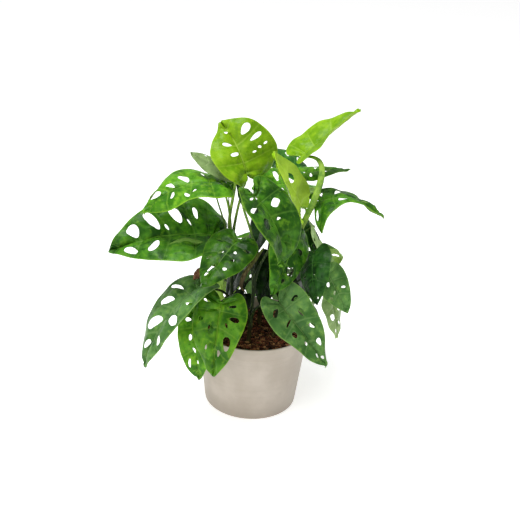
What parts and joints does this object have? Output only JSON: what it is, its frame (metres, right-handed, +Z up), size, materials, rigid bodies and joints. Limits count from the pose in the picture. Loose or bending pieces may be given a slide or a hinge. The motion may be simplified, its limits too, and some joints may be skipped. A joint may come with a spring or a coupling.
{
  "type": "potted monstera plant",
  "caption": "Small potted swiss-cheese monstera: perforated heart-shaped leaves on arching stalks, several rooted cuttings in coir soil, in a plain tapered plastic nursery pot.",
  "frame": {"origin": "middle of the pot's flat underside, on the pot's axis, at the height that the pot stands on", "axes": "+Z up along the pot's axis; -Y towards the fullest side of the foliage; +X to the right seen from there"},
  "size_m": [0.2693, 0.2142, 0.3193],
  "materials": {
    "pot_plastic": "satin, fine horizontal moulding lines",
    "soil": "coarse coir fibre and crumbs, matt",
    "stalks": "smooth waxy plant skin",
    "leaf_lime": "young leaf, thin, waxy",
    "leaf_bright": "waxy leaf with lighter veins",
    "leaf_mid": "waxy leaf with lighter veins",
    "leaf_deep": "glossy dark leaf",
    "leaf_grey": "leaf with a grey-blue bloom",
    "leaf_pale": "pale matt underside turned outwards"
  },
  "bodies": {
    "root": {"pot": "pot_plastic", "soil": "soil", "vine_left": "stalks", "vine_front": "stalks", "vine_right": "stalks", "vine_back": "stalks", "vine_rear": "stalks", "leaf_top": "leaf_lime", "leaf_top_left": "leaf_pale", "leaf_left_upper": "leaf_bright", "leaf_left_long": "leaf_mid", "leaf_low_left": "leaf_grey", "leaf_pot_left": "leaf_bright", "leaf_left_fold": "leaf_mid", "leaf_sliver": "leaf_deep", "leaf_front": "leaf_mid", "leaf_front_left": "leaf_mid", "leaf_front_under": "leaf_mid", "leaf_pot_front": "leaf_bright", "leaf_pot_right": "leaf_grey", "leaf_right": "leaf_deep", "leaf_right_shade": "leaf_deep", "leaf_right_pale": "leaf_pale", "leaf_right_low": "leaf_grey", "leaf_right_lowest": "leaf_pale", "leaf_right_inner": "leaf_grey", "leaf_wing": "leaf_mid", "leaf_spear": "leaf_lime", "leaf_right_point": "leaf_bright", "leaf_back_top": "leaf_deep", "leaf_young": "leaf_lime", "leaf_inner": "leaf_bright", "leaf_heart_high": "leaf_deep", "leaf_heart_left": "leaf_deep", "leaf_heart_middle": "leaf_deep", "leaf_heart_right": "leaf_deep", "leaf_heart_low_left": "leaf_deep", "leaf_heart_low_right": "leaf_deep", "leaf_rear_top": "leaf_bright", "leaf_rear_upper": "leaf_mid", "leaf_rear_right": "leaf_bright", "leaf_rear_low_right": "leaf_grey", "leaf_rear_left": "leaf_mid", "leaf_rear_middle": "leaf_deep", "leaf_rear_low_left": "leaf_bright"}
  },
  "joints": []
}
